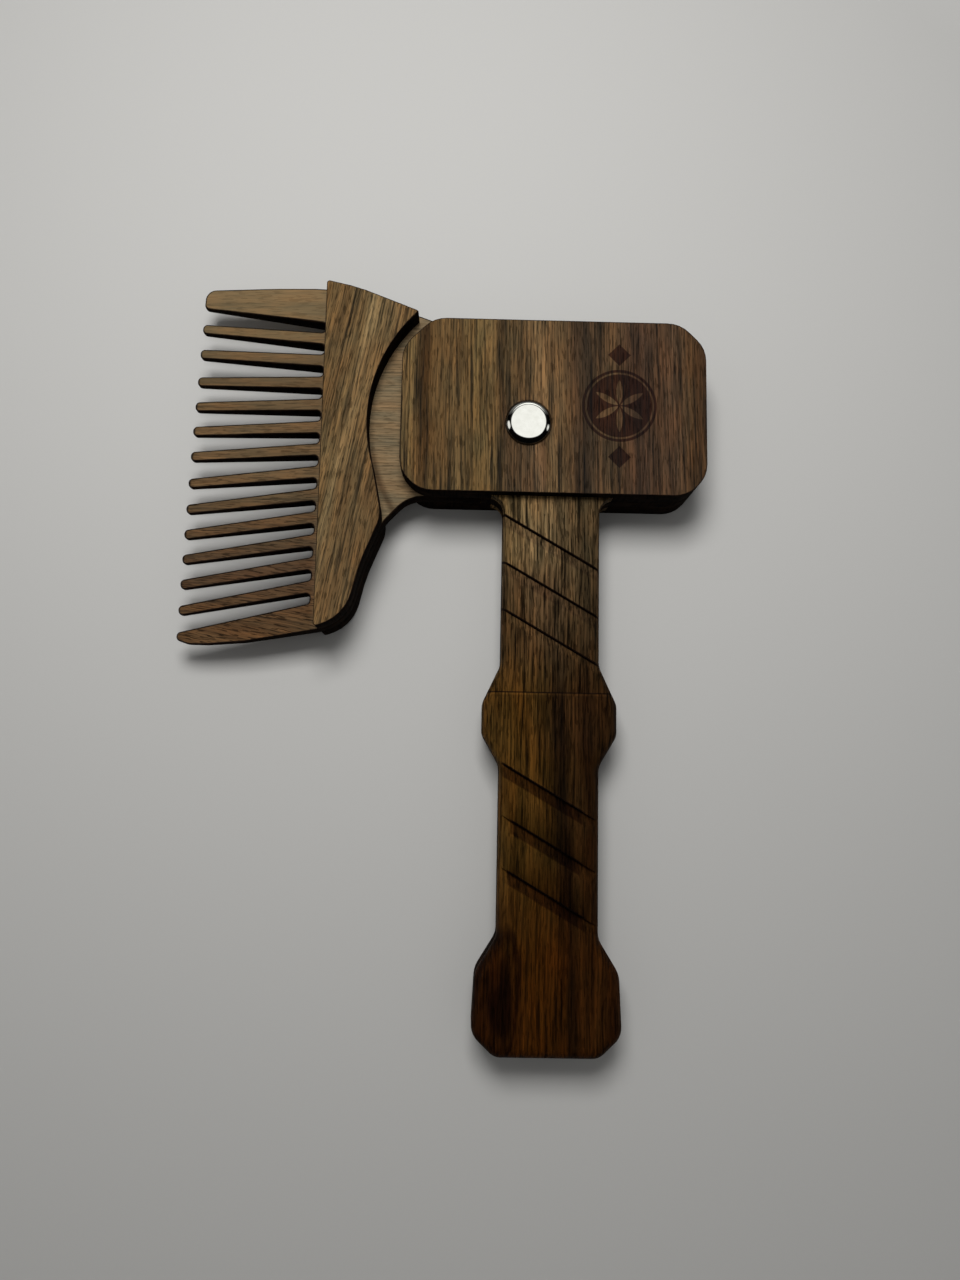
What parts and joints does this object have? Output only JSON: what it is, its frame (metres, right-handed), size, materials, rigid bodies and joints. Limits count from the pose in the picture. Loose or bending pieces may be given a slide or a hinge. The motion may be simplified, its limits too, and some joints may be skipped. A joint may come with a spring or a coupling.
{
  "type": "folding beard comb",
  "caption": "Folding wooden beard comb shaped like an axe: the toothed blade turns a quarter turn about a metal pivot in the head of a carved handle.",
  "frame": {"origin": "middle of the footprint of the closed comb, on the back face that it lies on", "axes": "+Z out of the front face, +Y along the handle towards the head, +X away from the teeth"},
  "size_m": [0.1028, 0.149, 0.0152],
  "materials": {
    "comb_wood": "oiled, laser cut, grain along the teeth",
    "blade_wood": "oiled, scorched edges, upright grain",
    "head_wood": "oiled, scorched edges, upright grain",
    "core_wood": "oiled, scorched edges, upright grain",
    "grip_wood": "oiled and sanded round, upright grain",
    "pivot_metal": "bright nickel plate"
  },
  "bodies": {
    "handle": {"head_cheek_front": "head_wood", "head_cheek_back": "head_wood", "handle_core": "core_wood", "grip_scale_front": "grip_wood", "grip_scale_back": "grip_wood", "pivot_post": "pivot_metal", "pivot_screw": "pivot_metal"},
    "comb": {"comb_plate": "comb_wood", "blade_cheek_front": "blade_wood", "blade_cheek_back": "blade_wood"}
  },
  "joints": [
    {"name": "comb_pivot", "type": "hinge", "parent": "handle", "child": "comb", "pos_m": [0.01645, 0.04515, 0.007], "axis": [0, 0, -1], "range_deg": [0, 90]}
  ]
}
